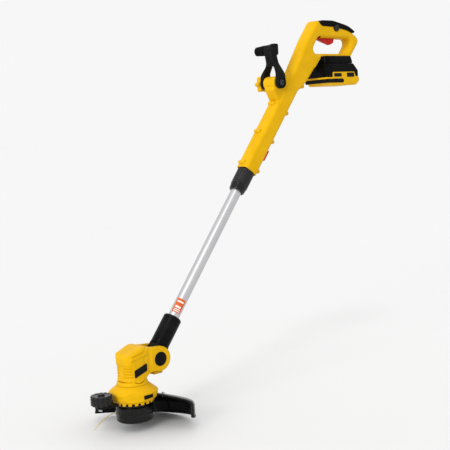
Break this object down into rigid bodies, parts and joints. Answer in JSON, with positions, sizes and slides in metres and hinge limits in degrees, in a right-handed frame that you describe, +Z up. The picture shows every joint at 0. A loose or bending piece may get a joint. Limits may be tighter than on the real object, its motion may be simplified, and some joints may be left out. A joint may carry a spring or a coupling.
{
  "type": "string trimmer",
  "caption": "Cordless telescopic string trimmer with a loop rear handle, adjustable front handle, tilting motor head, line spool, guard and edge guide wheel.",
  "frame": {"origin": "centre line of the rear handle's top bar, where the hand holds the tool in use", "axes": "+X rearward from the cutting head to the battery, +Y to the operator's right-hand side, +Z up along the line head's spin axis"},
  "size_m": [0.8367, 0.233, 0.8699],
  "materials": {
    "yellow_plastic": "satin",
    "black_plastic": "fine grain",
    "soft_grip": "matt",
    "red_plastic": "satin",
    "grey_plastic": "matt",
    "steel": "brushed",
    "aluminium": "satin",
    "terminal_copper": "satin",
    "nylon_line": "gloss"
  },
  "bodies": {
    "handle": {"handle_shell_left": "yellow_plastic", "handle_shell_right": "yellow_plastic", "shell_screw_1": "steel", "shell_screw_2": "steel", "shell_screw_3": "steel", "shell_screw_4": "steel", "shell_screw_5": "steel", "shell_screw_6": "steel", "grip_pad": "soft_grip", "power_switch": "black_plastic", "battery_foot": "black_plastic", "terminal_block": "terminal_copper"},
    "trigger": {"trigger": "red_plastic"},
    "lock_off": {"lock_off_button": "black_plastic"},
    "battery": {"battery_upper_case": "black_plastic", "battery_lower_case": "yellow_plastic", "battery_cell_1": "steel", "battery_cell_2": "steel", "battery_cell_3": "steel", "battery_cell_4": "steel", "battery_cell_5": "steel"},
    "battery_latch": {"battery_latch": "grey_plastic"},
    "aux_handle": {"aux_handle": "black_plastic", "aux_grip_end": "soft_grip", "aux_bolt": "steel"},
    "aux_knob": {"aux_knob": "yellow_plastic"},
    "collar": {"lock_collar": "black_plastic"},
    "rotation_button": {"rotation_button": "red_plastic"},
    "tube_guide": {"tube_guide": "black_plastic"},
    "shaft": {"inner_tube": "aluminium", "shaft_socket": "black_plastic", "motor_lead": "black_plastic"},
    "head": {"motor_housing_left": "yellow_plastic", "motor_housing_right": "yellow_plastic", "name_plate": "black_plastic", "base_cover": "yellow_plastic", "motor_can": "steel", "pivot_bolt": "steel", "pivot_cap_left": "black_plastic", "pivot_cap_right": "black_plastic", "guard": "black_plastic", "guard_screw_1": "steel", "guard_screw_2": "steel", "line_cutter": "steel", "wheel_bracket": "black_plastic", "wheel_axle": "steel"},
    "tilt_release": {"tilt_release": "yellow_plastic"},
    "spool": {"drive_shaft": "steel", "cooling_fan": "black_plastic", "spool_housing": "black_plastic", "spool_cap": "black_plastic", "line_reel": "grey_plastic", "wound_line": "nylon_line", "spool_spring": "steel", "line_eyelet": "steel", "cutting_line": "nylon_line"},
    "cap_latch_1": {"cap_latch_1": "black_plastic"},
    "cap_latch_2": {"cap_latch_2": "black_plastic"},
    "guide_wheel": {"guide_wheel": "black_plastic"}
  },
  "joints": [
    {"name": "trigger_squeeze", "type": "hinge", "parent": "handle", "child": "trigger", "pos_m": [-0.059, 0, -0.011], "axis": [0, -1, 0], "range_deg": [0, 8], "stiffness_Nm_per_rad": 0.6, "springref_deg": -11.46},
    {"name": "lock_off_press", "type": "slide", "parent": "handle", "child": "lock_off", "axis": [0, 1, 0], "range_m": [0, 0.004], "stiffness_N_per_m": 500, "springref_m": -0.002},
    {"name": "battery_slide", "type": "slide", "parent": "handle", "child": "battery", "axis": [1, 0, 0], "range_m": [0, 0.1]},
    {"name": "battery_latch_press", "type": "slide", "parent": "battery", "child": "battery_latch", "axis": [0, 0, -1], "range_m": [0, 0.003], "stiffness_N_per_m": 500, "springref_m": -0.002},
    {"name": "aux_handle_pivot", "type": "hinge", "parent": "handle", "child": "aux_handle", "pos_m": [-0.208, 0, -0.123], "axis": [0, 1, 0], "range_deg": [-60, 30]},
    {"name": "aux_knob_turn", "type": "hinge", "parent": "aux_handle", "child": "aux_knob", "pos_m": [-0.208, 0.0385, -0.123], "axis": [0, 1, 0], "range_deg": [0, 540]},
    {"name": "collar_twist", "type": "hinge", "parent": "handle", "child": "collar", "pos_m": [-0.32595, 0, -0.3464], "axis": [0.6157, 0, 0.788], "range_deg": [0, 90]},
    {"name": "rotation_button_press", "type": "slide", "parent": "handle", "child": "rotation_button", "axis": [-0.788, 0, 0.6157], "range_m": [0, 0.003], "stiffness_N_per_m": 500, "springref_m": -0.002},
    {"name": "shaft_rotate", "type": "hinge", "parent": "handle", "child": "tube_guide", "pos_m": [-0.603, 0, -0.701], "axis": [0.6157, 0, 0.788], "range_deg": [0, 180]},
    {"name": "shaft_extend", "type": "slide", "parent": "tube_guide", "child": "shaft", "axis": [-0.6157, 0, -0.788], "range_m": [-0.1, 0.12]},
    {"name": "head_tilt", "type": "hinge", "parent": "shaft", "child": "head", "pos_m": [-0.603, 0, -0.701], "axis": [0, 1, 0], "range_deg": [-30, 30]},
    {"name": "tilt_release_press", "type": "slide", "parent": "head", "child": "tilt_release", "axis": [0, 0, 1], "range_m": [0, 0.002], "stiffness_N_per_m": 500, "springref_m": -0.002},
    {"name": "spool_spin", "type": "hinge", "parent": "head", "child": "spool", "pos_m": [-0.66, 0, -0.825], "axis": [0, 0, 1], "continuous": true},
    {"name": "cap_latch_press_1", "type": "slide", "parent": "spool", "child": "cap_latch_1", "axis": [0.9659, 0.2588, 0], "range_m": [0, 0.0015], "stiffness_N_per_m": 500, "springref_m": -0.002},
    {"name": "cap_latch_press_2", "type": "slide", "parent": "spool", "child": "cap_latch_2", "axis": [-0.9659, -0.2588, 0], "range_m": [0, 0.0015], "stiffness_N_per_m": 500, "springref_m": -0.002},
    {"name": "guide_wheel_spin", "type": "hinge", "parent": "head", "child": "guide_wheel", "pos_m": [-0.738, 0.003, -0.765], "axis": [0, 0, 1], "continuous": true}
  ]
}
